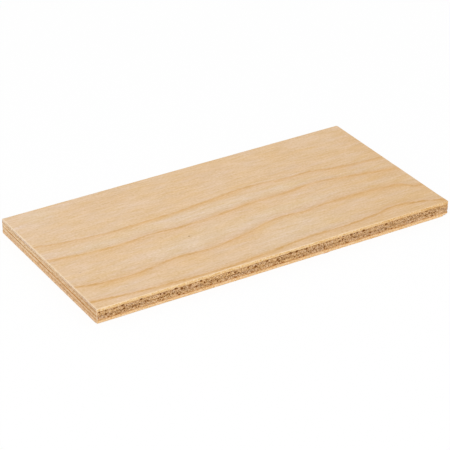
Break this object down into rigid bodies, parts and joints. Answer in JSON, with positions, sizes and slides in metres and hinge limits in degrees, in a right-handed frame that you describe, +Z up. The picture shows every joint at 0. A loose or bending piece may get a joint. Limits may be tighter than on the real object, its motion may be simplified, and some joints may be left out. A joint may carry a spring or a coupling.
{
  "type": "plywood sheet",
  "caption": "Small rectangular plywood sheet of crosswise glued veneers, with sanded faces, bare sawn edges and one broken lower corner.",
  "frame": {"origin": "middle of the underside, on the surface that the sheet lies on", "axes": "+X along the length and the face grain, +Y across the width, +Z up through the thickness towards the face"},
  "size_m": [0.15, 0.075, 0.006],
  "materials": {
    "face_wood": "pale veneer with amber growth lines, sanded and unfinished",
    "core_wood": "browner core veneer, sawn on its edges, with open pores in the end grain",
    "back_wood": "pale veneer, sanded and unfinished"
  },
  "bodies": {
    "root": {"face_veneer": "face_wood", "upper_core_veneer": "core_wood", "lower_core_veneer": "core_wood", "back_veneer": "back_wood"}
  },
  "joints": []
}
